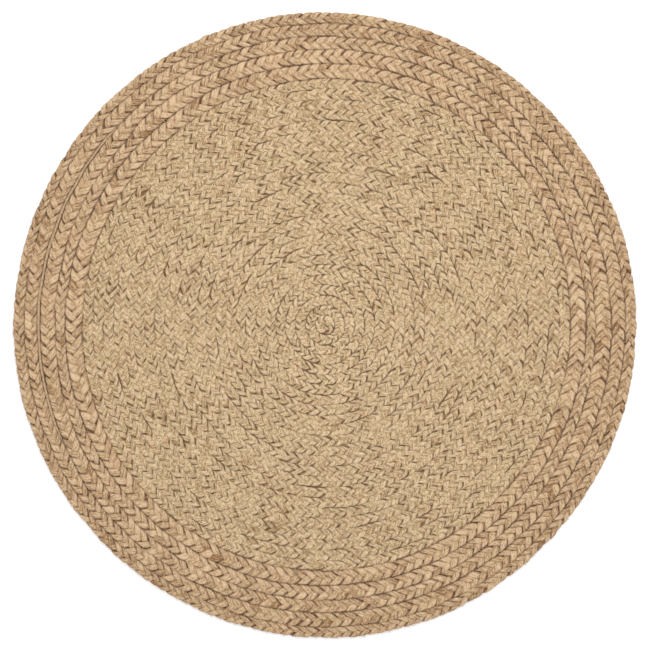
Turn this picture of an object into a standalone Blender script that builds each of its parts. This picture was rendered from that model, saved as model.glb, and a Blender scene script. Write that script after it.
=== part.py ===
"""Round braided jute rug: a field of narrow braid rounds, sewn inside five heavier border rounds.

Metres, +Z up. The origin is the centre of the underside, which lies flat on the floor at z = 0, and the
rug's own top faces +Z. Each round is a closed ring of flat braid, sewn to the round inside it. The field is
one solid with a shallow groove wherever two of its rounds meet, and each border round is a solid of its own,
with bulging sides and a crowned top. The strands of the braids are finer than these solids show.
"""

import math
from dataclasses import dataclass

import bmesh
import bpy
from mathutils import Vector

RUG_DIAMETER = 1.200  # over the outermost braid
FIELD_ROUNDS = 24  # narrow braids in the field
FIELD_HEIGHT = 0.0090  # crown of a field braid above the floor
FIELD_GROOVE = 0.0024  # how far the seams between field braids lie below their crowns
PIECE_GAP = 0.0003  # clear space between neighbouring pieces
FACETS = 56  # around the rug; a multiple of 4 keeps the outline's box centred on the origin
WELD = 0.00001  # the spin's first and last profile are merged within this

# The section of a sewn braid from its inner side to its outer side, as shares of its width and height.
BRAID_SECTION = (
    (0.13, 0.00),
    (0.00, 0.42),
    (0.17, 0.86),
    (0.50, 1.00),
    (0.83, 0.86),
    (1.00, 0.42),
    (0.87, 0.00),
)
RIM_SECTION = BRAID_SECTION[4:]  # its outer half, which is also the rim of the field


@dataclass(frozen=True)
class Wave:
    """A slow in-and-out of a seam: crests around the rug, metres either way, degrees to a crest."""

    crests: int
    swing: float
    first_crest: float


@dataclass(frozen=True)
class BorderRound:
    """One heavy border braid: its sewn width, the height of its crown, and how its outer seam wanders."""

    name: str
    width: float
    height: float
    outer_seam: tuple[Wave, ...]


# From the outside in. The outline's own waves come in even numbers, so that it stays centred.
BORDER = (
    BorderRound("border_round_1", 0.0205, 0.0105, (Wave(2, 0.0014, 95), Wave(4, 0.0012, 10))),
    BorderRound("border_round_2", 0.0265, 0.0115, (Wave(2, 0.0012, 95), Wave(3, 0.0008, 40))),
    BorderRound("border_round_3", 0.0274, 0.0112, (Wave(2, 0.0014, 90), Wave(3, 0.0012, 100))),
    BorderRound("border_round_4", 0.0236, 0.0112, (Wave(2, 0.0044, 86), Wave(4, 0.0008, 40))),
    BorderRound("border_round_5", 0.0300, 0.0120, (Wave(1, 0.0012, 10), Wave(2, 0.0018, 50))),
)
FIELD_SEAM = (Wave(1, 0.0027, 10), Wave(2, 0.0030, 63))

RUG_RADIUS = RUG_DIAMETER / 2
FIELD_RADIUS = RUG_RADIUS - sum(braid.width for braid in BORDER)
ROUND_WIDTH = FIELD_RADIUS / FIELD_ROUNDS

FIELD_COLOUR = (0.539, 0.381, 0.227)  # dry straw jute, linear
BORDER_COLOUR = (0.479, 0.323, 0.190)  # the same fibre, a shade darker and warmer
JUTE_ROUGHNESS = 0.92


def seams() -> list[tuple[float, tuple[Wave, ...]]]:
    """Each seam's plain radius and waves, from the centre out."""
    found = [(0.0, ()), (FIELD_RADIUS, FIELD_SEAM)]
    radius = FIELD_RADIUS
    for braid in reversed(BORDER):
        radius += braid.width
        found.append((radius, braid.outer_seam))
    return found


SEAMS = seams()


def swing_at(waves: tuple[Wave, ...], angle: float) -> float:
    """How far out a seam lies from its plain radius at this angle."""
    return sum(wave.swing * math.cos(wave.crests * (angle - math.radians(wave.first_crest))) for wave in waves)


def drift(radius: float, angle: float) -> float:
    """How far out the sewing has drawn a point, between the seam inside it and the seam outside it."""
    for (inner, inner_waves), (outer, outer_waves) in zip(SEAMS, SEAMS[1:]):
        if radius <= outer:
            share = (radius - inner) / (outer - inner)
            return (1 - share) * swing_at(inner_waves, angle) + share * swing_at(outer_waves, angle)
    return swing_at(SEAMS[-1][1], angle)


def jute(name: str, colour: tuple[float, float, float]) -> bpy.types.Material:
    """Raw jute: dry, matt and plain, in one of its two shades."""
    material = bpy.data.materials.new(name)
    material.use_nodes = True
    shader = material.node_tree.nodes["Principled BSDF"]
    shader.inputs["Base Color"].default_value = (*colour, 1.0)
    shader.inputs["Roughness"].default_value = JUTE_ROUGHNESS
    shader.inputs["Metallic"].default_value = 0.0
    return material


def turned(name: str, profile: list[tuple[float, float]], closed: bool, material: bpy.types.Material):
    """Spins a profile of (radius, height) points round the Z axis, and draws it out to the seams.

    A closed profile makes a ring. An open one starts and ends on the axis and makes a disc.
    """
    shape = bmesh.new()
    corners = [shape.verts.new((radius, 0.0, height)) for radius, height in profile]
    pairs = list(zip(corners, corners[1:]))
    if closed:
        pairs.append((corners[-1], corners[0]))
    edges = [shape.edges.new(pair) for pair in pairs]
    bmesh.ops.spin(
        shape,
        geom=corners + edges,
        cent=(0, 0, 0),
        axis=(0, 0, 1),
        angle=2 * math.pi,
        steps=FACETS,
        use_merge=True,
    )
    bmesh.ops.remove_doubles(shape, verts=shape.verts, dist=WELD)
    for corner in shape.verts:
        radius = math.hypot(corner.co.x, corner.co.y)
        if radius > WELD:
            outward = Vector((corner.co.x, corner.co.y, 0.0)) / radius
            corner.co += outward * drift(radius, math.atan2(corner.co.y, corner.co.x))
    bmesh.ops.recalc_face_normals(shape, faces=shape.faces)
    mesh = bpy.data.meshes.new(name)
    shape.to_mesh(mesh)
    shape.free()
    mesh.shade_smooth()
    mesh.set_sharp_from_angle(angle=math.radians(50))
    mesh.materials.append(material)
    piece = bpy.data.objects.new(name, mesh)
    bpy.context.collection.objects.link(piece)
    return piece


def make_field(material: bpy.types.Material) -> None:
    """The field: one disc, flat below, with a low crown on each of its rounds and a rounded rim."""
    groove = FIELD_HEIGHT - FIELD_GROOVE
    profile = [(0.0, groove)]
    for count in range(FIELD_ROUNDS):
        inner = count * ROUND_WIDTH
        profile.append((inner + ROUND_WIDTH / 2, FIELD_HEIGHT))
        if count < FIELD_ROUNDS - 1:
            profile.append((inner + ROUND_WIDTH, groove))
    width = ROUND_WIDTH - PIECE_GAP / 2
    inner = FIELD_RADIUS - ROUND_WIDTH
    profile += [(inner + across * width, up * FIELD_HEIGHT) for across, up in RIM_SECTION]
    profile.append((0.0, 0.0))
    turned("field", profile, False, material)


def make_border(material: bpy.types.Material) -> None:
    """The border rounds: five closed rings, each a braid's section turned between its two seams."""
    outer = RUG_RADIUS
    for braid in BORDER:
        at_rim = outer == RUG_RADIUS
        inner = outer - braid.width + PIECE_GAP / 2
        width = outer - inner - (0.0 if at_rim else PIECE_GAP / 2)
        profile = [(inner + across * width, up * braid.height) for across, up in BRAID_SECTION]
        turned(braid.name, profile, True, material)
        outer -= braid.width


def clear_scene() -> None:
    """Takes away whatever the file opens with."""
    for thing in list(bpy.data.objects):
        bpy.data.objects.remove(thing, do_unlink=True)


def main() -> None:
    clear_scene()
    make_field(jute("field_jute", FIELD_COLOUR))
    make_border(jute("border_jute", BORDER_COLOUR))


main()
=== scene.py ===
"""Round braided jute rug, plaited strand by strand.

The rug is made as it is by hand. Three flattened strands of loose jute are plaited into a flat braid, the
braid is closed into a round, and each round is sewn to the one inside it: narrow rounds in the field, and
five heavier ones round the edge. Every round here is three real interlaced strands, laid between the two
seams that the frame gives it, with the unevenness of handwork. Stitches show down in the border's seams, a
thin cord is tucked into one of them, and short loose fibres lie on the braids and stand out past the edge.
"""

import logging
import math
from dataclasses import dataclass
from enum import Enum

import bpy
import numpy as np
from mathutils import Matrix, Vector


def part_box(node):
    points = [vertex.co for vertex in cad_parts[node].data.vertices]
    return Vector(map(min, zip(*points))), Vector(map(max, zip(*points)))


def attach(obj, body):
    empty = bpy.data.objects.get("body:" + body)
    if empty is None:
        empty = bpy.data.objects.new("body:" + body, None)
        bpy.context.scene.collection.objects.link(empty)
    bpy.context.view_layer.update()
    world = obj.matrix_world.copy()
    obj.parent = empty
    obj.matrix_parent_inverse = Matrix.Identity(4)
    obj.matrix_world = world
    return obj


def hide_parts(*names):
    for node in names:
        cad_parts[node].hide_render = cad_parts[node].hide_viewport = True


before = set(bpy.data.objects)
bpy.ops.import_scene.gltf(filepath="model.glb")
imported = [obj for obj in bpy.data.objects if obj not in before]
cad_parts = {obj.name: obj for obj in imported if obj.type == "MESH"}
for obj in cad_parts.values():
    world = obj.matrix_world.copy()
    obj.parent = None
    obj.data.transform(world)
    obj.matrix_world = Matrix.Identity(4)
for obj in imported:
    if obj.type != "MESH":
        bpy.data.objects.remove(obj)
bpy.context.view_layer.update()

MM = 0.001
TURN = 2 * math.pi
STRANDS = 3  # in each braid
LOBES = 2  # times a strand comes over the top in one period, once on each side
LOBE_START = 0.25  # how far into a half period a lobe comes up, where a half period is 1
WELD = 0.001 * MM  # corners closer than this are one
SHADE_SPAN = 10  # steps of shade that the lobe attribute holds, from 0 to 1
STRAND_MAP = "strand"  # metres along and around a strand, for the fibres
ATLAS = "OFBake"  # the strands cut into rows that fill a square

log = logging.getLogger("jute_rug")


def linear(colour: str) -> tuple[float, float, float, float]:
    """Turns an sRGB hex colour into the linear one that a shader takes.

    Args:
        colour: six hex digits, such as "c2a683".

    Returns:
        Linear red, green, blue and an alpha of 1.
    """
    shares = [int(colour[at : at + 2], 16) / 255 for at in (0, 2, 4)]
    red, green, blue = (s / 12.92 if s <= 0.04045 else ((s + 0.055) / 1.055) ** 2.4 for s in shares)
    return (red, green, blue, 1.0)


def add_node(
    tree: bpy.types.NodeTree, kind: str, settings: dict | None = None, inputs: dict | None = None
) -> bpy.types.Node:
    """Adds one shader node.

    Args:
        tree: the material's nodes.
        kind: the node's type.
        settings: its own settings, by name.
        inputs: by name or number, either a value or the output that feeds it.

    Returns:
        The new node.
    """
    node = tree.nodes.new(kind)
    for name, value in (settings or {}).items():
        setattr(node, name, value)
    for name, value in (inputs or {}).items():
        if isinstance(value, bpy.types.NodeSocket):
            tree.links.new(value, node.inputs[name])
        else:
            node.inputs[name].default_value = value
    return node


def soft_limit(value: np.ndarray, limit: np.ndarray | float, ease: np.ndarray | float) -> np.ndarray:
    """Presses values in below a limit, as yarn is pressed against what it meets.

    Args:
        value: the values.
        limit: what they approach and don't pass.
        ease: how far below the limit the pressing starts to tell.

    Returns:
        The pressed values.
    """
    return limit - ease * np.logaddexp(0.0, (limit - value) / ease)


def smooth_through(values: np.ndarray, place: np.ndarray) -> np.ndarray:
    """A smooth curve through values that stand one apart on a closed loop.

    Args:
        values: what the curve passes through, the last one followed by the first.
        place: where to read it. Whole numbers are the values themselves.

    Returns:
        The curve at each place.
    """
    count = len(values)
    whole = np.floor(place).astype(int)
    part = place - whole
    before, here, after, beyond = (values[(whole + step) % count] for step in (-1, 0, 1, 2))
    bend = 2 * before - 5 * here + 4 * after - beyond
    twist = 3 * (here - after) + beyond - before
    return here + 0.5 * part * (after - before + part * (bend + part * twist))


def ramp(count: int, start: float, step: float) -> float:
    """Rises from a start by a step for each round out from the centre, and stops at 1."""
    return min(1.0, start + step * count)


def places_of(mesh: bpy.types.Mesh) -> np.ndarray:
    """Reads where a mesh's corners are.

    Args:
        mesh: the mesh.

    Returns:
        A row of x, y and z for each corner.
    """
    places = np.empty(len(mesh.vertices) * 3)
    mesh.vertices.foreach_get("co", places)
    return places.reshape(-1, 3)


def corners_of_faces(mesh: bpy.types.Mesh) -> np.ndarray:
    """Reads the corners that the faces stand on, one face after another.

    Args:
        mesh: the mesh.

    Returns:
        The number of each corner.
    """
    corners = np.empty(len(mesh.loops), dtype=np.int32)
    mesh.loops.foreach_get("vertex_index", corners)
    return corners


def mark_jute(mesh: bpy.types.Mesh, shade: np.ndarray, lit: np.ndarray) -> None:
    """Keeps what the finish reads at each corner, its painted shade among it.

    Args:
        mesh: the mesh.
        shade: for each corner, how light its jute is and how red or green.
        lit: for each corner, how far its colour is out of the painted shadow, from 0 to 1.
    """
    shares = 0.5 + shade / SHADE_SPAN
    packed = np.stack([shares[:, 0], shares[:, 1], lit, np.ones_like(lit)], axis=-1)
    lobe = mesh.color_attributes.new(name="lobe", type="FLOAT_COLOR", domain="POINT")
    lobe.data.foreach_set("color", packed.ravel())


def leave_modelling(name: str) -> bpy.types.Object:
    """Leaves edit mode, puts the new piece's place into its mesh, and names it.

    Args:
        name: the piece's name.

    Returns:
        The piece.
    """
    bpy.ops.object.mode_set(mode="OBJECT")
    bpy.ops.object.transform_apply(location=True, rotation=True, scale=True)
    piece = bpy.context.object
    piece.name = piece.data.name = name
    return piece


def weld_and_face_out() -> None:
    """Merges the corners that meet and turns all faces out, in edit mode."""
    bpy.ops.mesh.select_all(action="SELECT")
    bpy.ops.mesh.remove_doubles(threshold=WELD)
    bpy.ops.mesh.normals_make_consistent(inside=False)


def repeat(piece: bpy.types.Object, count: int, offset: tuple[float, float, float]) -> None:
    """Copies a piece along a straight line.

    Args:
        piece: the active object, which becomes the whole row.
        count: how many there are in the end.
        offset: from one to the next, in metres.
    """
    array = piece.modifiers.new("repeat", "ARRAY")
    array.count = count
    array.use_relative_offset = False
    array.use_constant_offset = True
    array.constant_offset_displace = offset
    bpy.ops.object.modifier_apply(modifier=array.name)


class Seed(Enum):
    """Where the random draws of each kind of piece start, so that one can change without the others."""

    FIELD_EDGE = 5
    FIELD_SPLICES = 7
    FIELD_SEAM = 50
    BORDER_BRAID = 100
    FIELD_BRAID = 200
    FIELD_FIBRES = 299
    BORDER_FIBRES = 300
    STITCHES = 400
    CORD = 500
    PULL = 1000


class Pace(Enum):
    """How many times in a period of the plait an unevenness changes."""

    SLOW = 0.7
    PERIOD = 1.0
    LOBE = 2.0
    QUICK = 3.0


class Shade(Enum):
    """The sorts of jute that turn up in a strand: how light it is, and how far it leans to red or green."""

    STRAW = (0.1, 0.0)
    PALE = (1.0, 0.0)
    TAN = (-1.0, 0.1)
    ROSY = (-0.3, 0.9)
    GREENISH = (0.0, -0.9)
    BARK = (-2.2, 0.5)


@dataclass(frozen=True)
class ShadeMix:
    """How often each sort of jute comes over the top of a braid."""

    straw: float = 0.50
    pale: float = 0.17
    tan: float = 0.16
    rosy: float = 0.08
    greenish: float = 0.07
    bark: float = 0.02

    def draw(self, dice: np.random.Generator, count: int, lighter: float) -> np.ndarray:
        """Picks the jute of each lobe.

        Args:
            dice: the seeded random source.
            count: how many lobes.
            lighter: how much lighter than usual all of them are.

        Returns:
            A row for each lobe: how light, and how red or green.
        """
        odds = np.array([self.straw, self.pale, self.tan, self.rosy, self.greenish, self.bark])
        sorts = np.array([shade.value for shade in Shade])
        picked = sorts[dice.choice(len(sorts), size=count, p=odds / odds.sum())]
        return picked + dice.normal((lighter, 0.0), (0.45, 0.22), size=(count, 2))


@dataclass(frozen=True)
class JuteFinish:
    """Raw jute: undyed bast fibre, combed and laid loose, dry and quite without gloss.

    Its fibres run along each strand, so the eye gets fine light and dark streaks along every lobe, painted
    shade that makes it darker brown where one strand goes under another, and only a faint sheen at grazing
    angles.
    """

    name: str
    pale: str
    dark: str
    shadow: str  # painted shadow: what is left of the colour far down between two strands
    rosy: str = "fffaf7"  # what is left of it in the reddest jute
    greenish: str = "fdfff9"
    span: tuple[float, float] = (-0.9, 1.1)  # lightness at which it is fully dark and fully pale
    contrast: float = 0.22  # lightness from one step of a lobe's own shade
    streaks: float = 4.4  # lightness from the bundles of fibres
    bundle_mm: float = 1.7  # width of a bundle, coarser than real so that it shows
    bundle_length_mm: float = 11.0
    fibres: float = 4.2  # lightness from the single fibres
    fibre_mm: float = 1.0  # coarser than real too
    fibre_length_mm: float = 4.0
    relief_mm: float = 0.3  # depth of the bump between bundles
    relief: float = 0.9  # how strongly it shows
    roughness: tuple[float, float] = (0.84, 0.98)
    sheen: float = 0.10
    sheen_roughness: float = 0.6
    gloss: float = 0.25  # dry fibre reflects about half of what a solid surface does

    def make(self) -> bpy.types.Material:
        """Builds the material.

        Returns:
            The material, which reads a strand's own map and its lobe attribute.
        """
        material = bpy.data.materials.new(self.name)
        material.use_nodes = True
        tree = material.node_tree
        shader = tree.nodes["Principled BSDF"]
        strand = add_node(tree, "ShaderNodeUVMap", {"uv_map": "strand"}).outputs["UV"]
        bundles = self.noise(tree, strand, self.bundle_mm, self.bundle_length_mm)
        fine = self.noise(tree, strand, self.fibre_mm, self.fibre_length_mm)
        lobe = add_node(tree, "ShaderNodeAttribute", {"attribute_name": "lobe"})
        parts = add_node(tree, "ShaderNodeSeparateColor", inputs={"Color": lobe.outputs["Color"]}).outputs
        streak = self.total(tree, (bundles, self.streaks), (fine, self.fibres))
        light = self.total(tree, (parts["Red"], self.contrast * SHADE_SPAN), (streak, 1.0))
        colour = add_node(
            tree,
            "ShaderNodeMix",
            {"data_type": "RGBA"},
            {0: self.ranged(tree, light, *self.span), 6: linear(self.dark), 7: linear(self.pale)},
        ).outputs[2]
        red = self.ranged(tree, parts["Green"], 0.5, 0.5 + 1 / SHADE_SPAN)
        green = self.ranged(tree, parts["Green"], 0.5, 0.5 - 1 / SHADE_SPAN)
        # painted shade: the less lit the lobe attribute says a corner is, the more of the shadow colour it
        # takes
        painted_shade = self.ranged(tree, parts["Blue"], 1.0, 0.0)
        for amount, tint in ((red, self.rosy), (green, self.greenish), (painted_shade, self.shadow)):
            colour = add_node(
                tree,
                "ShaderNodeMix",
                {"data_type": "RGBA", "blend_type": "MULTIPLY"},
                {0: amount, 6: colour, 7: linear(tint)},
            ).outputs[2]
        tree.links.new(colour, shader.inputs["Base Color"])
        rough = add_node(
            tree,
            "ShaderNodeMapRange",
            inputs={"Value": fine, "To Min": self.roughness[1], "To Max": self.roughness[0]},
        )
        tree.links.new(rough.outputs["Result"], shader.inputs["Roughness"])
        bump = add_node(
            tree,
            "ShaderNodeBump",
            inputs={"Strength": self.relief, "Distance": self.relief_mm * MM, "Height": streak},
        )
        tree.links.new(bump.outputs["Normal"], shader.inputs["Normal"])
        shader.inputs["Sheen Weight"].default_value = self.sheen
        shader.inputs["Sheen Roughness"].default_value = self.sheen_roughness
        shader.inputs["Specular IOR Level"].default_value = self.gloss
        return material

    @staticmethod
    def noise(
        tree: bpy.types.NodeTree, strand: bpy.types.NodeSocket, width_mm: float, length_mm: float
    ) -> bpy.types.NodeSocket:
        """Streaks that run along a strand.

        Args:
            tree: the material's nodes.
            strand: metres along and around the strand.
            width_mm: how wide a streak is.
            length_mm: how long it is.

        Returns:
            The streaks, from 0 to 1.
        """
        scale = (1 / (length_mm * MM), 1 / (width_mm * MM), 1.0)
        stretched = add_node(tree, "ShaderNodeMapping", inputs={"Vector": strand, "Scale": scale})
        pattern = add_node(
            tree,
            "ShaderNodeTexNoise",
            {"noise_dimensions": "2D"},
            {"Vector": stretched.outputs["Vector"], "Scale": 1.0, "Detail": 2.0, "Roughness": 0.6},
        )
        return pattern.outputs["Fac"]

    @staticmethod
    def total(
        tree: bpy.types.NodeTree, *patterns: tuple[bpy.types.NodeSocket, float]
    ) -> bpy.types.NodeSocket:
        """Adds patterns up about a half, which is the middle value of each.

        Args:
            tree: the material's nodes.
            patterns: each with how much it counts.

        Returns:
            Their sum.
        """
        total = 0.5
        for pattern, weight in patterns:
            total = add_node(
                tree,
                "ShaderNodeMath",
                {"operation": "MULTIPLY_ADD"},
                {0: pattern, 1: weight, 2: total},
            ).outputs[0]
            total = add_node(
                tree,
                "ShaderNodeMath",
                {"operation": "SUBTRACT"},
                {0: total, 1: weight / 2},
            ).outputs[0]
        return total

    @staticmethod
    def ranged(
        tree: bpy.types.NodeTree, value: bpy.types.NodeSocket, low: float, high: float
    ) -> bpy.types.NodeSocket:
        """Turns a value that runs from low to high into one that runs from 0 to 1, and stops there.

        Args:
            tree: the material's nodes.
            value: the value.
            low: where it gives 0.
            high: where it gives 1, which may be the lower of the two.

        Returns:
            The share.
        """
        node = add_node(
            tree,
            "ShaderNodeMapRange",
            inputs={"Value": value, "From Min": low, "From Max": high},
        )
        return node.outputs["Result"]


@dataclass(frozen=True)
class Seam:
    """A sewn seam, or the rug's outline: how far from the centre it runs, at every angle."""

    waves: np.ndarray  # its mean distance, then its slow waves round the rug, the longest first

    @classmethod
    def round_node(cls, node: str, most_waves: int = 6) -> "Seam":
        """Follows the outer edge of a node of the frame.

        Args:
            node: the node's name.
            most_waves: how many waves round the rug are kept.

        Returns:
            The seam along its widest line.
        """
        corners = np.array([corner.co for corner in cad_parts[node].data.vertices])
        radius = np.hypot(corners[:, 0], corners[:, 1])
        angle = np.round(np.arctan2(corners[:, 1], corners[:, 0]), 4) % round(TURN, 4)
        wide = radius > radius.max() / 2
        radii = np.array([radius[wide & (angle == spoke)].max() for spoke in np.unique(angle[wide])])
        waves = (np.fft.rfft(radii) / len(radii))[: most_waves + 1]
        waves[1:] *= 2
        return cls(waves)

    @property
    def middle(self) -> float:
        """Its mean distance from the centre."""
        return float(self.waves[0].real)

    def at(self, angle: np.ndarray) -> np.ndarray:
        """Its distance from the centre at each angle, in radians."""
        turns = np.exp(1j * np.multiply.outer(angle, np.arange(len(self.waves))))
        return (turns @ self.waves).real


@dataclass(frozen=True)
class Splice:
    """Where the two ends of a round are joined, and push the seam outside it out or in."""

    at: float  # degrees round the rug
    step: float  # metres the seam moves out across the splice
    settles: float = 40.0  # degrees in which it comes back
    width: float = 2.0  # degrees that the step itself takes

    def push(self, angle: np.ndarray) -> np.ndarray:
        """How far out the seam is pushed at each angle, in radians."""
        past = np.degrees((angle - math.radians(self.at) + math.pi) % TURN - math.pi)
        return self.step / 2 * np.tanh(past / self.width) * np.exp(-np.abs(past) / self.settles)


@dataclass(frozen=True)
class Tuck:
    """Where the rounds on both sides of a seam stand apart, for a thin cord between them."""

    first: float = 137.0  # degrees round the rug
    last: float = 203.0
    ease: float = 1.5  # degrees in which they part
    width: float = 4.6 * MM

    def gap(self, angle: np.ndarray) -> np.ndarray:
        """Reads how far apart the rounds stand.

        Args:
            angle: where to read it, in radians.

        Returns:
            Metres at each angle.
        """
        turned = np.degrees(angle % TURN)
        opened = np.tanh((turned - self.first) / self.ease)
        closed = np.tanh((self.last - turned) / self.ease)
        return self.width * np.clip((opened + closed) / 2, 0.0, 1.0)


@dataclass
class Edge:
    """One edge of a round: its seam, moved by the splices along it."""

    seam: Seam
    share: float = 1.0  # of the seam's distance from the centre
    splices: tuple[Splice, ...] = ()
    sewn: float = 1.0 * MM  # how far the rounds on both sides are pulled into each other along it
    tuck: Tuck | None = None
    wander: float = 0.5 * MM  # how far the sewing strays from it
    slack: float = 0.45  # how much less tightly it is sewn in some places than in others
    wanders: float = 200.0  # how often each of them changes round the rug, to a metre of its radius
    slackens: float = 220.0
    seed: int = 0

    def at(self, angle: np.ndarray) -> np.ndarray:
        """Its distance from the centre at each angle."""
        radius = self.share * self.seam.at(angle) + sum(splice.push(angle) for splice in self.splices)
        return radius + self.wander * self.bends(angle, self.wanders, self.seed)

    def mean(self) -> float:
        """Its mean distance from the centre."""
        return self.at(np.linspace(0, TURN, 90)).mean()

    def pull(self, angle: np.ndarray) -> np.ndarray:
        """Reads how far each round is pulled in under the other, or held back by a cord.

        Args:
            angle: where to read it, in radians.

        Returns:
            Metres past the seam at each angle.
        """
        bends = self.bends(angle, self.slackens, self.seed + Seed.PULL.value)
        pulled = self.sewn * (1 + self.slack * bends)
        return pulled if self.tuck is None else pulled - self.tuck.gap(angle) / 2

    def bends(self, angle: np.ndarray, changes: float, seed: int) -> np.ndarray:
        """A smooth unevenness along the edge, with a spread of 1.

        Args:
            angle: where to read it, in radians.
            changes: how often it changes, to a metre of the edge's radius.
            seed: of its bends.

        Returns:
            Its value at each angle.
        """
        count = 4 + round(self.share * self.seam.middle * changes)  # a closed curve needs a few bends
        values = np.random.default_rng(seed).normal(size=count)
        return smooth_through(values, angle % TURN / TURN * count)


@dataclass(frozen=True)
class Plait:
    """How a braid is plaited. Shares are of the braid's own width or height."""

    pitch: float  # metres along the round from one lobe to the next on the same side
    steps: int  # sections in one period of a strand
    sides: int  # corners in a section
    snug: float = 1.02  # how much of the pitch a strand fills along the round
    half_height: float = 0.27  # of a strand, as a share of the braid's height
    straight: float = 0.05  # takes the roundness out of the strands' way across
    early: float = 8.0  # degrees of a period by which a strand is up before it has turned
    level: float = 1.6  # how flat it lies on top, and how steeply it goes under
    slant: float = 24.0  # degrees of a period by which one side of it goes under before the other
    skew: float = 0.15  # how much steeper the outer lobes stand than the inner ones
    skewed_from: float = 135.0  # degrees of a period from which they do
    boxy: float = 0.88  # below 1, a strand's section is fuller than an ellipse
    painted_crease_shade: float = 0.42  # painted shade: how much darker its colour is along its two sides, where it meets its neighbours
    clear: float = 0.2 * MM  # between its underside and the floor
    press_below: float = 0.8 * MM  # how softly it is pressed flat there, and at its top
    press_above: float = 0.6 * MM
    uneven: float = 1.0  # of the handwork as a whole, which multiplies the spreads below
    jitter: float = 0.5 * MM  # how far along the round neighbouring lobes stray together
    drift: float = 1.3 * MM  # how far the whole braid does, slowly
    own_jitter: float = 0.3 * MM  # how far a lobe does by itself
    timing: float = 0.05  # radians of a period by which a strand turns early or late
    broad: float = 0.04  # of a strand's width
    stout: float = 0.07  # of its thickness
    strays: float = 0.35 * MM  # how far it strays across the braid
    bulge: float = 0.08  # of how high it rises
    heave: float = 0.2 * MM  # how far it rides up or down


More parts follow.
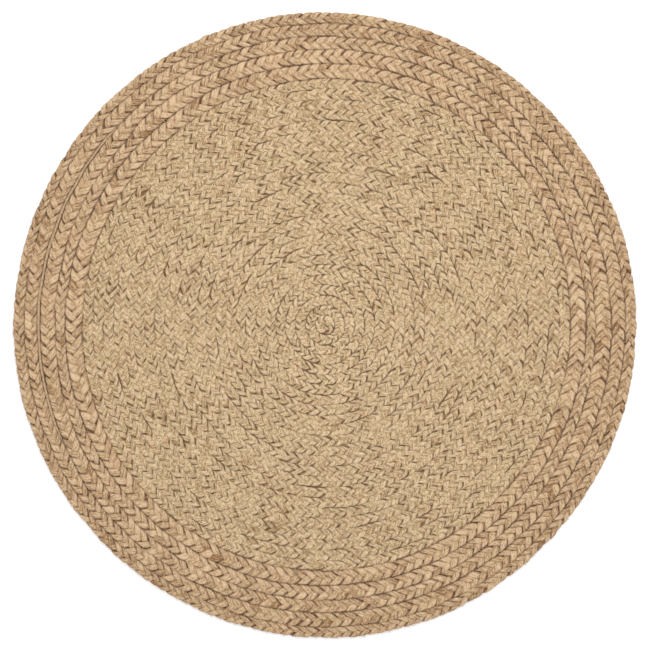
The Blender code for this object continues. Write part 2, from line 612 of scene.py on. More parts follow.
@dataclass
class Round:
    """One closed round of three-strand braid between two seams."""

    LONGER = 1.2  # a strand's way through the plait, for one along the round
    GIRTH = 1.4283  # round a strand, for one pitch
    APART = 0.37  # metres of grain between the start of one strand and the next
    END_MARGIN = 0.004  # bare ends of a row of the atlas, as a share of its length
    SIDE_MARGIN = 0.04  # and its bare sides, as a share of its width
    DEEPEST = 0.40  # share of the height where the jute's colour is in full painted shadow
    LIT_ABOVE = 0.32  # how far above that its colour is out of the painted shadow again, as a share of the height
    LIT_BELOW = 0.12  # and how far below, on the underside
    AT_SIDE = 0.95  # cosine around a strand past which it counts as its side, where its colour takes painted crease shade

    name: str
    inner: Edge  # the edge nearer the centre
    outer: Edge
    height: float  # from the floor to the crown of the braid
    plait: Plait
    lighter: float  # how much lighter than usual its jute is
    seed: int  # of its unevenness

    def __post_init__(self) -> None:
        """Settles how many periods of braid the round takes."""
        self.dice = np.random.default_rng(self.seed)
        around = np.linspace(0.0, TURN, 360, endpoint=False)
        self.radius = float((self.inner.at(around) + self.outer.at(around)).mean() / 2)
        self.periods = max(2, round(TURN * self.radius / (STRANDS * self.plait.pitch)))
        self.sections = self.periods * self.plait.steps
        self.step = TURN * self.radius / self.sections

    def straight_strands(self) -> bpy.types.Object:
        """Models three straight strands side by side, each a third of a period behind the last.

        One section of a strand is drawn out step by step to one period, and arrays carry it on to the whole
        round and to the other strands.

        Returns:
            The object, lying along +Y.
        """
        plait = self.plait
        bpy.ops.object.select_all(action="DESELECT")
        bpy.ops.mesh.primitive_circle_add(
            vertices=plait.sides, radius=plait.pitch / 2, rotation=(math.pi / 2, 0, 0), enter_editmode=True
        )
        for _ in range(plait.steps):
            bpy.ops.mesh.extrude_region_move(TRANSFORM_OT_translate={"value": (0, self.step, 0)})
        strands = leave_modelling(self.name)
        period = self.step * plait.steps
        repeat(strands, self.periods, (0, period, 0))
        repeat(strands, STRANDS, (2 * plait.pitch, period / STRANDS, 0))
        return strands

    def read_places(self, strands: bpy.types.Object) -> tuple[np.ndarray, np.ndarray, np.ndarray]:
        """Finds each corner's place in the straight strands.

        Args:
            strands: the straight strands.

        Returns:
            For each corner its strand, its section along it, and its angle around it.
        """
        across, along, up = places_of(strands.data).T
        apart = 2 * self.plait.pitch
        strand = np.round(across / apart).astype(int)
        section = np.round(along / self.step - strand * self.plait.steps / STRANDS).astype(int)
        around = np.arctan2(up, across - strand * apart) % TURN
        return strand, section, around

    def uneven(self, pace: Pace, amount: float) -> np.ndarray:
        """Slow or quick unevenness along the three strands.

        Args:
            pace: how often it changes. At the pace of the lobes, each of them has a value of its own.
            amount: its spread.

        Returns:
            A row for each strand and a column for each section.
        """
        count = max(3, round(self.periods * pace.value))
        # half past the start, so that at the pace of the lobes a value stands in the middle of each
        own_way = np.arange(self.sections) / self.sections * count - LOBE_START - 0.5
        rows = [smooth_through(self.dice.normal(size=count), own_way) for _ in range(STRANDS)]
        return amount * self.plait.uneven * np.array(rows)

    def uneven_together(self, pace: Pace, amount: float) -> np.ndarray:
        """The same, but alike for the strands that lie side by side.

        Args:
            pace: how often it changes.
            amount: its spread.

        Returns:
            A row for each strand and a column for each section.
        """
        rows = self.uneven(pace, amount)
        behind = self.plait.steps / STRANDS
        return np.array([np.roll(rows[0], -round(row * behind)) for row in range(STRANDS)])

    def lay(self, strand: np.ndarray, section: np.ndarray, around: np.ndarray) -> np.ndarray:
        """Plaits the strands and lays them round between the two seams.

        A strand is flat, and folds over at each edge of the braid, so its sections lie along the round. It
        goes under at the middle, where the strand from the other side slants over it.

        Args:
            strand: each corner's strand.
            section: its section along the strand.
            around: its angle around the section.

        Returns:
            Each corner's place.
        """
        plait = self.plait
        own = np.arange(self.sections) / plait.steps
        start = np.arange(STRANDS)[:, None] / STRANDS
        phase = TURN * own + self.uneven(Pace.LOBE, plait.timing)
        skew = plait.skew * np.sin(phase - math.radians(plait.skewed_from)) / TURN
        shift = self.uneven_together(Pace.SLOW, plait.drift)
        shift = shift + self.uneven_together(Pace.QUICK, plait.jitter)
        shift = shift + self.uneven(Pace.LOBE, plait.own_jitter)
        angle = TURN * (own + start - skew) / self.periods + shift / self.radius
        near, far = self.inner.at(angle), self.outer.at(angle)
        middle, width = (near + far) / 2, far - near

        half = plait.pitch / 2 * plait.snug * (1 + self.uneven(Pace.LOBE, plait.broad))
        thick = self.height * plait.half_height * (1 + self.uneven(Pace.LOBE, plait.stout))
        sway = (np.sin(phase) - plait.straight * np.sin(3 * phase)) / (1 + plait.straight)
        sewn = np.where(sway > 0, self.outer.pull(angle), self.inner.pull(angle))
        across = sway * (width / 2 + sewn - thick) + self.uneven(Pace.LOBE, plait.strays)
        rise = (self.height / 2 - thick) * (1 + self.uneven(Pace.LOBE, plait.bulge))
        level = self.height / 2 + self.uneven(Pace.PERIOD, plait.heave)

        bow = np.sign(np.cos(around)) * np.abs(np.cos(around)) ** plait.boxy
        crown = np.sign(np.sin(around)) * np.abs(np.sin(around)) ** plait.boxy
        slant = math.radians(plait.slant) * np.cos(phase) ** 2
        early = math.radians(plait.early)
        here, before, after = ((strand, (section + way) % self.sections) for way in (0, -1, 1))
        heights = []
        for there in (here, before, after):
            wave = math.sin(early) - np.sin(2 * (phase[there] + slant[there] * bow) + early)
            heights.append(level[there] + rise[there] * np.tanh(plait.level * wave) / math.tanh(plait.level))

        along_x = across[after] - across[before]
        along_z = heights[2] - heights[1]
        length = np.hypot(along_x, along_z)
        offset = thick[here] * crown
        off = across[here] - offset * along_z / length
        up = heights[0] + offset * along_x / length
        turned = angle[here] + half[here] * bow / middle[here]
        radius = middle[here] + off
        up = -soft_limit(-up, -plait.clear, plait.press_below)
        up = soft_limit(up, self.height, plait.press_above)
        return np.stack([radius * np.cos(turned), radius * np.sin(turned), up], axis=-1)

    def close(self, strands: bpy.types.Object) -> None:
        """Joins each strand's last section to its first, and turns the faces out.

        Args:
            strands: the plaited strands.
        """
        bpy.ops.object.select_all(action="DESELECT")
        strands.select_set(True)
        bpy.context.view_layer.objects.active = strands
        bpy.ops.object.mode_set(mode="EDIT")
        weld_and_face_out()
        bpy.ops.object.mode_set(mode="OBJECT")
        bpy.ops.object.shade_smooth()

    def map_strands(self, mesh: bpy.types.Mesh, lobes: np.ndarray) -> None:
        """Gives the round its two maps and what its finish reads.

        Args:
            mesh: the finished mesh, with each corner's strand, section and angle as attributes.
            lobes: for each strand and lobe, how light it is and how red or green.
        """
        strand, section, around = (self.stored(mesh, name) for name in ("strand", "section", "around"))
        strand, section = strand.astype(int), section.astype(int) % self.sections
        self.map_faces(mesh, strand, section, around)
        # painted shade: the colour is darkest at DEEPEST of the height, where the strands go under each
        # other, and darker still along each strand's two sides
        share = places_of(mesh)[:, 2] / self.height
        above, below = (share - self.DEEPEST) / self.LIT_ABOVE, (self.DEEPEST - share) / self.LIT_BELOW
        lit = np.clip(np.maximum(above, below), 0.0, 1.0)
        lit *= 1 - self.plait.painted_crease_shade * (np.abs(np.cos(around)) > self.AT_SIDE)
        lobe = np.floor(section / self.plait.steps * LOBES - LOBE_START).astype(int) % (LOBES * self.periods)
        mark_jute(mesh, lobes[strand, lobe], lit)

    def map_faces(
        self, mesh: bpy.types.Mesh, strand: np.ndarray, section: np.ndarray, around: np.ndarray
    ) -> None:
        """Gives the faces the map that the grain follows, and the atlas.

        Args:
            mesh: the finished mesh.
            strand: each corner's strand.
            section: its section along the strand.
            around: its angle around the section.
        """
        faces = corners_of_faces(mesh).reshape(-1, 4)
        along = section[faces].astype(float)
        last_section = (along.max(axis=1) - along.min(axis=1) > self.sections / 2)[:, None]
        along[last_section & (along == 0)] = self.sections
        turned = (around[faces] + math.pi / 2) % TURN / TURN
        last_side = (turned.max(axis=1) - turned.min(axis=1) > 0.5)[:, None]
        turned[last_side & (turned < 0.25)] += 1.0

        length = self.LONGER * self.step
        girth = self.GIRTH * self.plait.pitch
        offset = strand[faces] * self.APART + self.dice.random()
        grain = np.stack([along * length + offset, turned * girth + offset], axis=-1)
        mesh.uv_layers.new(name=STRAND_MAP).uv.foreach_set("vector", grain.ravel())

        first = along.min(axis=1, keepdims=True)
        rows = max(1, round(math.sqrt(self.sections * length / (STRANDS * girth))))
        per_row = math.ceil(self.sections / rows)
        row = first // per_row + strand[faces] * rows
        left = self.END_MARGIN + (1 - 2 * self.END_MARGIN) * (along - first // per_row * per_row) / per_row
        low = (row + self.SIDE_MARGIN + (1 - 2 * self.SIDE_MARGIN) * turned) / (rows * STRANDS)
        atlas = mesh.uv_layers.new(name=ATLAS)
        atlas.uv.foreach_set("vector", np.stack([left, low], axis=-1).ravel())
        mesh.uv_layers.active = atlas
        atlas.active_render = True

    @staticmethod
    def store(mesh: bpy.types.Mesh, name: str, values: np.ndarray) -> None:
        """Keeps a number for each corner of the mesh under a name.

        Args:
            mesh: the mesh.
            name: what to keep them under.
            values: the numbers.
        """
        kept = mesh.attributes.new(name, "FLOAT", "POINT")
        kept.data.foreach_set("value", values.astype(np.float32))

    @staticmethod
    def stored(mesh: bpy.types.Mesh, name: str) -> np.ndarray:
        """Takes back what store kept, and clears it from the mesh.

        Args:
            mesh: the mesh.
            name: what they are kept under.

        Returns:
            The numbers.
        """
        values = np.empty(len(mesh.vertices), dtype=np.float32)
        mesh.attributes[name].data.foreach_get("value", values)
        mesh.attributes.remove(mesh.attributes[name])
        return values

    def build(self, finish: bpy.types.Material) -> bpy.types.Object:
        """Models, plaits, closes and dresses the round.

        Args:
            finish: its jute.

        Returns:
            The finished piece.
        """
        piece = self.straight_strands()
        strand, section, around = self.read_places(piece)
        for name, values in (("strand", strand), ("section", section), ("around", around)):
            self.store(piece.data, name, values)
        piece.data.vertices.foreach_set("co", self.lay(strand, section, around).ravel())
        self.close(piece)
        lobes = ShadeMix().draw(self.dice, STRANDS * LOBES * self.periods, self.lighter)
        self.map_strands(piece.data, lobes.reshape(STRANDS, LOBES * self.periods, 2))
        piece.data.materials.append(finish)
        log.info("%s: %d periods, %d faces", self.name, self.periods, len(piece.data.polygons))
        return piece


@dataclass
class Packing:
    """The loose fibre pressed between the strands and into the seams, which lets no light through; its
    colour is held in painted shade, as the gaps would be in shade.
    """

    name: str
    inner: Edge
    outer: Edge
    height: float  # of the braid that it fills
    low: float = 0.12  # its underside and its top, as shares of that height
    high: float = 0.42
    spare: float = 2.0 * MM  # how far inside the outer edge it stays
    lit: float = 0.3  # painted shade: how far its colour is out of the painted shadow
    corners: int = 240

    def build(self, finish: bpy.types.Material) -> bpy.types.Object:
        """Models a flat ring, or a disc where the inner edge is the centre.

        Args:
            finish: its jute.

        Returns:
            The finished piece.
        """
        ring = self.inner.share > 0
        rise = (self.high - self.low) * self.height
        bpy.ops.object.select_all(action="DESELECT")
        bpy.ops.mesh.primitive_circle_add(
            vertices=self.corners,
            radius=1.0,
            fill_type="NOTHING" if ring else "NGON",
            location=(0, 0, self.low * self.height),
            enter_editmode=True,
        )
        bpy.ops.mesh.extrude_region_move(TRANSFORM_OT_translate={"value": (0, 0, rise)})
        if ring:
            # in to half the size at the top, down, and back out to meet the first circle
            for factor, drop in ((0.5, 0), (1, -rise), (2, 0)):
                bpy.ops.mesh.extrude_region_move(TRANSFORM_OT_translate={"value": (0, 0, drop)})
                bpy.ops.transform.resize(value=(factor, factor, 1), center_override=(0, 0, 0))
        weld_and_face_out()
        piece = leave_modelling(self.name)
        self.follow_seams(piece.data)
        piece.data.materials.append(finish)
        log.info("%s: %d faces", self.name, len(piece.data.polygons))
        return piece

    def follow_seams(self, mesh: bpy.types.Mesh) -> None:
        """Moves the corners to the two edges, and gives the mesh what the finish reads.

        Args:
            mesh: a ring between half a metre and a metre from the centre, or a disc of a metre.
        """
        corners = places_of(mesh)
        angle = np.arctan2(corners[:, 1], corners[:, 0])
        outside = np.hypot(corners[:, 0], corners[:, 1]) > 0.75
        radius = np.where(outside, self.outer.at(angle) - self.spare, self.inner.at(angle))
        corners[:, 0] = radius * np.cos(angle)
        corners[:, 1] = radius * np.sin(angle)
        mesh.vertices.foreach_set("co", corners.ravel())
        flat = corners[corners_of_faces(mesh), :2]
        mesh.uv_layers.new(name=STRAND_MAP).uv.foreach_set("vector", flat.ravel())
        mark_jute(mesh, np.zeros((len(corners), 2)), np.full(len(corners), self.lit))


@dataclass
class ShortThreads:
    """Many short pieces of one thread, each along its own curve."""

    APART = 4 * MM  # between the straight copies, and between the points of each
    GRAIN_APART = 0.01  # metres of grain between one thread and the next

    name: str
    sides: int = 3

    def build(
        self, curves: np.ndarray, radii: np.ndarray, shades: np.ndarray, finish: bpy.types.Material
    ) -> bpy.types.Object:
        """Models one straight piece, repeats it, and lays each copy along its curve.

        Args:
            curves: the points of each curve.
            radii: the thread's radius at each point.
            shades: for each curve, how light it is and how red or green.
            finish: its jute.

        Returns:
            The finished piece.
        """
        count, points = radii.shape
        bpy.ops.object.select_all(action="DESELECT")
        bpy.ops.mesh.primitive_circle_add(
            vertices=self.sides,
            radius=MM,
            fill_type="NGON",
            rotation=(math.pi / 2, 0, 0),
            enter_editmode=True,
        )
        for _ in range(points - 1):
            bpy.ops.mesh.extrude_region_move(TRANSFORM_OT_translate={"value": (0, self.APART, 0)})
        weld_and_face_out()
        piece = leave_modelling(self.name)
        repeat(piece, count, (self.APART, 0, 0))
        self.lay(piece.data, curves, radii, shades)
        bpy.ops.object.shade_smooth()
        piece.data.materials.append(finish)
        log.info("%s: %d pieces, %d faces", self.name, count, len(piece.data.polygons))
        return piece

    def lay(self, mesh: bpy.types.Mesh, curves: np.ndarray, radii: np.ndarray, shades: np.ndarray) -> None:
        """Lays the straight copies along their curves, and gives the mesh what the finish reads.

        Args:
            mesh: the copies, side by side.
            curves: the points of each curve.
            radii: the thread's radius at each point.
            shades: for each curve, how light it is and how red or green.
        """
        x, y, z = places_of(mesh).T
        which = np.round(x / self.APART).astype(int)
        point = np.round(y / self.APART).astype(int)
        around = np.arctan2(z, x - which * self.APART)
        ahead = np.gradient(curves, axis=1)
        ahead /= np.linalg.norm(ahead, axis=-1, keepdims=True)
        aside = np.cross(ahead, (0.0, 0.0, 1.0))
        aside /= np.linalg.norm(aside, axis=-1, keepdims=True)
        above = np.cross(aside, ahead)
        here = (which, point)
        ring = np.cos(around)[:, None] * aside[here] + np.sin(around)[:, None] * above[here]
        mesh.vertices.foreach_set("co", (curves[here] + radii[here][:, None] * ring).ravel())
        grain = np.stack([point * self.APART, around * MM + which * self.GRAIN_APART], axis=-1)
        mesh.uv_layers.new(name=STRAND_MAP).uv.foreach_set("vector", grain[corners_of_faces(mesh)].ravel())
        mark_jute(mesh, shades[which], np.ones(len(which)))


@dataclass
class StrayFibres:
    """Loose ends of fibre that have worked out of the strands and lie about on the braid."""

    name: str
    inner: Edge
    outer: Edge
    height: float  # of the braid that they lie on
    per_area: float = 2300.0  # to a square metre
    radius: float = 0.17 * MM
    thickness: tuple[float, float] = (0.6, 1.3)  # of that radius
    length: tuple[float, float] = (5 * MM, 17 * MM)
    lying: tuple[float, float] = (0.90, 1.0)  # how high on the braid, as shares of its height
    within: tuple[float, float] = (0.04, 0.93)  # the part of the way across the braid where they lie
    lift: float = 0.9 * MM  # the most that one rises in the middle
    bend: float = 0.9  # radians that it turns on its way
    beyond: int = 0  # how many stand out past the outer edge
    root: float = 1.5 * MM  # how far inside that edge those start
    standing: tuple[float, float] = (0.3, 0.75)  # how high they are
    shorter: float = 0.6  # how long they are, for one on the braid
    points: int = 5

    def build(self, finish: bpy.types.Material, seed: int) -> bpy.types.Object:
        """Scatters the fibres.

        Args:
            finish: their jute.
            seed: of their places.

        Returns:
            The finished piece.
        """
        dice = np.random.default_rng(seed)
        far, near = self.outer.mean(), self.inner.mean()
        on_top = round(self.per_area * math.pi * (far**2 - near**2))
        count = on_top + self.beyond
        edge = np.arange(count) >= on_top
        angle = dice.uniform(0, TURN, count)
        share = np.sqrt(dice.uniform((near / far) ** 2, 1, count))
        inside, outside = self.inner.at(angle), self.outer.at(angle)
        depth = np.clip((share - near / far) / (1 - near / far), *self.within)
        radius = np.where(edge, outside - self.root, inside + (outside - inside) * depth)
        length = dice.uniform(*self.length, count) * np.where(edge, self.shorter, 1)
        heading = np.where(edge, dice.normal(0, 0.9, count), dice.normal(math.pi / 2, 0.8, count))
        heading += angle + np.where(edge | (dice.random(count) < 0.5), 0, math.pi)
        bend = dice.normal(0, self.bend, count)
        along = np.linspace(0, 1, self.points)
        turn = heading[:, None] + bend[:, None] * along
        step = length[:, None] / (self.points - 1)
        x = np.cumsum(np.cos(turn) * step, axis=1) + (radius * np.cos(angle))[:, None]
        y = np.cumsum(np.sin(turn) * step, axis=1) + (radius * np.sin(angle))[:, None]
        height = np.where(edge, dice.uniform(*self.standing, count), dice.uniform(*self.lying, count))
        lift = dice.uniform(0.0, self.lift, count)[:, None] * np.sin(along * math.pi)
        z = lift + (height * self.height)[:, None]
        radii = self.radius * dice.uniform(*self.thickness, count)[:, None] * (1.05 - along**2)
        shades = dice.normal((0.2, 0.0), (1.5, 0.4), (count, 2))
        return ShortThreads(self.name).build(np.stack([x, y, z], axis=-1), radii, shades, finish)


@dataclass
class Stitches:
    """The sewing of one seam: a jute thread that shows as short slanting stitches down in the groove."""

    name: str
    seam: Edge
    height: float  # of the lower braid beside the seam
    spacing: float = 6.7 * MM
    length: float = 5.2 * MM
    radius: float = 0.55 * MM
    slope: float = 0.75  # how far it slants from straight across, in radians
    depth: float = 0.80  # how high its middle lies, as a share of the height
    sag: float = 0.5  # how much lower its ends are, for its length squared
    # the unevenness of its place along the seam, for a spacing of 1, and of its radius, slope and height
    uneven: tuple[float, float, float, float] = (0.12, 0.2 * MM, 0.15, 0.15 * MM)
    points: int = 4

    def build(self, finish: bpy.types.Material, seed: int) -> bpy.types.Object:
        """Sews the seam.

        Args:
            finish: the thread's jute.
            seed: of the stitches' unevenness.

        Returns:
            The finished piece.
        """
        dice = np.random.default_rng(seed)
        place, stray, turn, heave = self.uneven
        count = round(TURN * self.seam.mean() / self.spacing)
        angle = TURN * (np.arange(count) + dice.normal(0, place, count)) / count
        radius = self.seam.at(angle) + dice.normal(0, stray, count)
        slope = self.slope + dice.normal(0, turn, count)
        along = np.linspace(-0.5, 0.5, self.points)
        out = self.length * np.cos(slope)[:, None] * along
        way = self.length * np.sin(slope)[:, None] * along
        turned = angle[:, None] + way / radius[:, None]
        reach = radius[:, None] + out
        rise = self.height * (self.depth - self.sag * along**2) + dice.normal(0, heave, count)[:, None]
        curves = np.stack([reach * np.cos(turned), reach * np.sin(turned), rise], axis=-1)
        radii = np.full((count, self.points), self.radius)
        shades = dice.normal((-0.3, 0.0), (0.6, 0.1), (count, 2))
        return ShortThreads(self.name, sides=4).build(curves, radii, shades, finish)


@dataclass
class TuckedCord:
    """The thin end of a braid, twisted and sewn down in a seam for part of the way round."""

    name: str
    seam: Edge
    height: float  # of the rounds beside it
    squeeze: float = 0.3 * MM  # how far the rounds press into it on each side
    thinnest: float = 0.3 * MM  # its radius at its two ends
    past: float = 2.0  # degrees that it runs on under the braids at each end
    strands: int = 3
    twist: float = 19.0 * MM  # along the cord in one turn of it
    apart: tuple[float, float] = (0.42, 0.40)  # how far out and up the strands wind, for a radius of 1
    stout: float = 0.58  # a strand's radius, for one of the cord's
    sunk: float = 1.05  # how far its middle lies below the braids' crowns, for one radius
    uneven: float = 0.06  # of its radius
    bends: int = 60  # how often that changes
    points: int = 420

    def build(self, finish: bpy.types.Material, seed: int) -> bpy.types.Object:
        """Twists the cord.

        Args:
            finish: its jute.
            seed: of its unevenness.

        Returns:
            The finished piece.
        """
        dice = np.random.default_rng(seed)
        tuck = self.seam.tuck
        angle = np.radians(np.linspace(tuck.first - self.past, tuck.last + self.past, self.points))
        along = (angle - angle[0]) * self.seam.at(angle)
        radius = np.maximum(tuck.gap(angle) / 2 + self.squeeze, self.thinnest)
        bends = smooth_through(dice.normal(size=self.bends), along / along[-1] * (self.bends - 5))
        full = radius * (1 + self.uneven * bends)
        turned = TURN * (along / self.twist + np.arange(self.strands)[:, None] / self.strands)
        out, up = self.apart
        reach = self.seam.at(angle) + out * full * np.cos(turned)
        rise = self.height - self.sunk * radius.max() + up * full * np.sin(turned)
        curves = np.stack([reach * np.cos(angle), reach * np.sin(angle), rise], axis=-1)
        radii = np.repeat(self.stout * full[None], self.strands, axis=0)
        shades = dice.normal((-0.4, 0.0), (0.3, 0.1), (self.strands, 2))
        return ShortThreads(self.name, sides=8).build(curves, radii, shades, finish)


@dataclass(frozen=True)
class BorderRound:
    """One heavier round, and the seam or outline outside it."""

    node: str
    pitch: float  # metres along the round from one lobe to the next on the same side
    lighter: float  # how much lighter than usual its jute is
    lowest: float  # height of the lower braid beside the seam inside it
    sewn: float  # how far the rounds are pulled into each other along the seam outside it
    splices: tuple[Splice, ...] = ()  # in that seam
    tuck: Tuck | None = None  # in that seam

    def edge(self, seed: int) -> Edge:
        """Its outer edge."""
        seam = Seam.round_node(self.node)
        return Edge(seam, splices=self.splices, sewn=self.sewn, tuck=self.tuck, seed=seed)


@dataclass
class Border:
    """The five heavier rounds round the edge, the outermost first."""

    rounds: tuple[BorderRound, ...] = (
        BorderRound("border_round_1", pitch=18.2 * MM, lighter=-0.8, lowest=10.5 * MM, sewn=0.0),
        BorderRound(
            "border_round_2",
            pitch=18.6 * MM,
            lighter=-0.6,
            lowest=11.2 * MM,
            sewn=0.8 * MM,
            splices=(Splice(44, 1.5 * MM),),
        ),
        BorderRound(
            "border_round_3",
            pitch=18.6 * MM,
            lighter=-0.25,
            lowest=11.2 * MM,
            sewn=0.6 * MM,
            splices=(Splice(43, 5.0 * MM, settles=30),),
            tuck=Tuck(),
        ),
        BorderRound(
            "border_round_4",
            pitch=18.4 * MM,
            lighter=-0.05,
            lowest=11.2 * MM,
            sewn=0.9 * MM,
            splices=(Splice(45, 8.0 * MM, settles=24), Splice(134, -9.0 * MM, settles=26)),
        ),
        BorderRound(
            "border_round_5",
            pitch=19.6 * MM,
            lighter=-0.05,
            lowest=9.0 * MM,
            sewn=0.5 * MM,
            splices=(Splice(118, -2.5 * MM, settles=30),),
        ),
    )
    sewn_to_field: float = 0.6 * MM
    steps: int = 16
    sides: int = 10
    uneven: float = 1.3
    jitter: float = 0.9 * MM
    beyond: int = 420  # loose fibres that stand out past the outline
    finish: JuteFinish = JuteFinish(
        "border_raw_jute", pale="cdb18e", dark="7c5830", shadow="a06a2c", streaks=3.2, contrast=0.30
    )

    def edges(self) -> list[Edge]:
        """The edges of the rounds, from the outline in to the field's edge."""
        edges = [braid.edge(at) for at, braid in enumerate(self.rounds)]
        return [*edges, Edge(Seam.round_node("field"), sewn=self.sewn_to_field, seed=Seed.FIELD_EDGE.value)]

    def build(self) -> None:
        """Makes the five rounds, each in its own node's place."""
        jute = self.finish.make()
        edges = self.edges()
        for at, braid in enumerate(self.rounds):
            for piece in self.pieces(at, edges[at + 1], edges[at], jute):
                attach(piece, "root")
                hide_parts(braid.node)

    def pieces(self, at: int, inner: Edge, outer: Edge, jute: bpy.types.Material) -> list[bpy.types.Object]:
        """Makes one round and all that lies on and in it.

        Args:
            at: which round, the outermost being 0.
            inner: its edge nearer the centre.
            outer: its other edge.
            jute: its finish.

        Returns:
            The pieces.
        """
        braid = self.rounds[at]
        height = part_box(braid.node)[1].z
        plait = Plait(braid.pitch, self.steps, self.sides, jitter=self.jitter, uneven=self.uneven)
        seed = Seed.BORDER_BRAID.value + at
        plaited = Round(f"{braid.node}_braid", inner, outer, height, plait, braid.lighter, seed)
        packing = Packing(f"{braid.node}_packing", inner, outer, height)
        beyond = self.beyond if at == 0 else 0
        fibres = StrayFibres(f"{braid.node}_fibres", inner, outer, height, beyond=beyond)
        stitches = Stitches(f"{braid.node}_stitches", inner, min(height, braid.lowest))
        pieces = [
            plaited.build(jute),
            packing.build(jute),
            fibres.build(jute, Seed.BORDER_FIBRES.value + at),
            stitches.build(jute, Seed.STITCHES.value + at),
        ]
        if inner.tuck:
            cord = TuckedCord(f"{braid.node}_cord", inner, height)
            pieces.append(cord.build(jute, Seed.CORD.value))
        return pieces


@dataclass(frozen=True)
class SpliceHabit:
    """How the splices of many rounds lie one outside the other, each a little off."""

    at: float  # degrees round the rug
    strays: float  # how far single ones lie from it
    step: float  # metres the seam moves out
    spread: float  # of that step
    settles: float  # degrees in which it comes back


@dataclass
class Field:
    """The narrow rounds that fill the rug, the innermost first."""

    node: str = "field"
    rounds: int = 24
    steps: int = 14
    sides: int = 8
    pitch: float = 15.4 * MM
    finer: float = 0.42  # how much shorter the lobes are at the centre
    finer_rounds: int = 8  # and over how many rounds that wears off
    lighter: tuple[float, float] = (0.55, -0.55)  # at the centre and at its edge
    tighter: float = 0.03  # how much narrower than usual the rounds are at the centre
    uneven: float = 1.7  # it is plaited more loosely than the border
    sewn: float = 1.5 * MM
    sewn_to_border: float = 0.8 * MM
    # the share of each at the centre, and how much it rises with each round out
    unevenness: tuple[float, float] = (0.6, 0.1)
    sewing: tuple[float, float] = (0.3, 0.05)
    splicing: tuple[float, float] = (0.0, 0.1)
    first_spliced: int = 3  # seams inside this one are too short to show a splice
    habits: tuple[SpliceHabit, ...] = (
        SpliceHabit(at=45, strays=2.5, step=3.6 * MM, spread=0.8 * MM, settles=50),
        SpliceHabit(at=319, strays=4, step=-1.4 * MM, spread=0.7 * MM, settles=40),
    )
    finish: JuteFinish = JuteFinish(
        "field_raw_jute", pale="d2b995", dark="86673c", shadow="a87434", streaks=4.0, fibres=5.8
    )

    def splices(self, count: int, dice: np.random.Generator) -> tuple[Splice, ...]:
        """Draws the splices of one seam.

        Args:
            count: how many rounds lie inside it.
            dice: the seeded random source.

        Returns:
            Its splices, or none near the centre.
        """
        if count < self.first_spliced:
            return ()
        share = ramp(count, *self.splicing)
        steps = [dice.normal(habit.step, habit.spread) * share for habit in self.habits]
        places = [habit.at + dice.normal(0, habit.strays) for habit in self.habits]
        return tuple(
            Splice(place, step, habit.settles) for place, step, habit in zip(places, steps, self.habits)
        )

    def edges(self) -> list[Edge]:
        """Draws the seams.

        Returns:
            The edges of the rounds, from the centre out to the field's edge.
        """
        rim = Seam.round_node(self.node)
        dice = np.random.default_rng(Seed.FIELD_SPLICES.value)
        edges = []
        for count in range(self.rounds):
            share = count / self.rounds
            share *= 1 - self.tighter * (1 - share)
            sewn = self.sewn * ramp(count, *self.sewing)
            edges.append(
                Edge(rim, share, self.splices(count, dice), sewn, seed=Seed.FIELD_SEAM.value + count)
            )
        return [*edges, Edge(rim, sewn=self.sewn_to_border, seed=Seed.FIELD_EDGE.value)]

    def braid(self, count: int, inner: Edge, outer: Edge, height: float) -> Round:
        """Settles how one round is plaited.

        Args:
            count: how many rounds lie inside it.
            inner: its edge nearer the centre.
            outer: its other edge.
            height: from the floor to its crown.

        Returns:
            The round.
        """
        finer = self.finer * max(0.0, 1 - count / self.finer_rounds)
        plait = Plait(
            self.pitch * (1 - finer),
            self.steps,
            self.sides,
            level=1.9,
            slant=12.0,
            painted_crease_shade=0.34,
            jitter=0.8 * MM,
            uneven=self.uneven * ramp(count, *self.unevenness),
        )
        centre, edge = self.lighter
        lighter = centre + (edge - centre) * count / self.rounds
        name = f"field_round_{count + 1:02d}"
        return Round(name, inner, outer, height, plait, lighter, Seed.FIELD_BRAID.value + count)

    def build(self) -> None:
        """Makes the rounds, which together stand in the field's place."""
        jute = self.finish.make()
        edges = self.edges()
        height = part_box(self.node)[1].z
        for count in range(self.rounds):
            self.place(self.braid(count, edges[count], edges[count + 1], height).build(jute))
        centre = Edge(edges[0].seam, 0.0)
        self.place(Packing("field_packing", centre, edges[-1], height).build(jute))
        fibres = StrayFibres("field_fibres", centre, edges[-1], height)
        self.place(fibres.build(jute, Seed.FIELD_FIBRES.value))

    def place(self, piece: bpy.types.Object) -> None:
        """Puts a piece in the field's place.

        Args:
            piece: the finished piece.
        """
        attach(piece, "root")
        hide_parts(self.node)


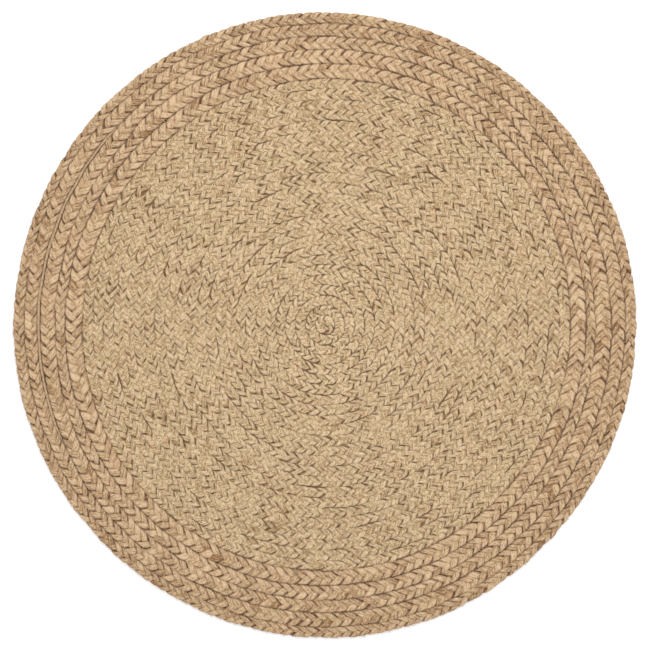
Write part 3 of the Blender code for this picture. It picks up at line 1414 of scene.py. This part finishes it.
@dataclass
class Studio:
    """A plain pale floor, soft light from all round, and a camera straight above the rug."""

    frame_width: float = 1.2538  # metres that the camera takes in at the floor
    lens: float = 85.0
    sensor: float = 36.0
    floor_side: float = 12.0
    floor_colour: str = "fafafa"
    sky: float = 1.14
    key_energy: float = 39.0
    key_side: float = 1.8
    key_place: tuple[float, float, float] = (0.4, 1.7, 2.8)

    def floor(self) -> None:
        """A matt floor just under the rug."""
        bpy.ops.object.select_all(action="DESELECT")
        bpy.ops.mesh.primitive_plane_add(size=self.floor_side, location=(0, 0, -0.1 * MM))
        floor = bpy.context.object
        floor.name = "floor"
        paint = bpy.data.materials.new("matt_floor_paint")
        paint.use_nodes = True
        shader = paint.node_tree.nodes["Principled BSDF"]
        shader.inputs["Base Color"].default_value = linear(self.floor_colour)
        shader.inputs["Roughness"].default_value = 0.9
        floor.data.materials.append(paint)

    def lights(self) -> None:
        """One large soft lamp high up beyond the rug, and an even sky."""
        world = bpy.data.worlds.new("soft_sky")
        bpy.context.scene.world = world
        world.use_nodes = True
        world.node_tree.nodes["Background"].inputs["Color"].default_value = (1, 1, 1, 1)
        world.node_tree.nodes["Background"].inputs["Strength"].default_value = self.sky
        lamp = bpy.data.lights.new("soft_box", "AREA")
        lamp.energy = self.key_energy
        lamp.size = self.key_side
        light = bpy.data.objects.new("soft_box", lamp)
        light.location = self.key_place
        light.rotation_euler = (-Vector(self.key_place)).to_track_quat("-Z", "Y").to_euler()
        bpy.context.collection.objects.link(light)

    def camera(self) -> None:
        """A camera that looks straight down."""
        made = bpy.data.cameras.new("above")
        made.lens = self.lens
        made.sensor_width = self.sensor
        camera = bpy.data.objects.new("above", made)
        camera.location = (0, 0, self.frame_width * self.lens / self.sensor)
        bpy.context.collection.objects.link(camera)
        bpy.context.scene.camera = camera

    def build(self) -> None:
        """Sets the stage."""
        self.floor()
        self.lights()
        self.camera()
        bpy.context.scene.view_settings.view_transform = "Standard"


def main() -> None:
    """Builds the rug and its stage."""
    logging.basicConfig(level=logging.INFO, format="%(name)s: %(message)s")
    Field().build()
    Border().build()
    Studio().build()


if __name__ == "__main__":
    main()
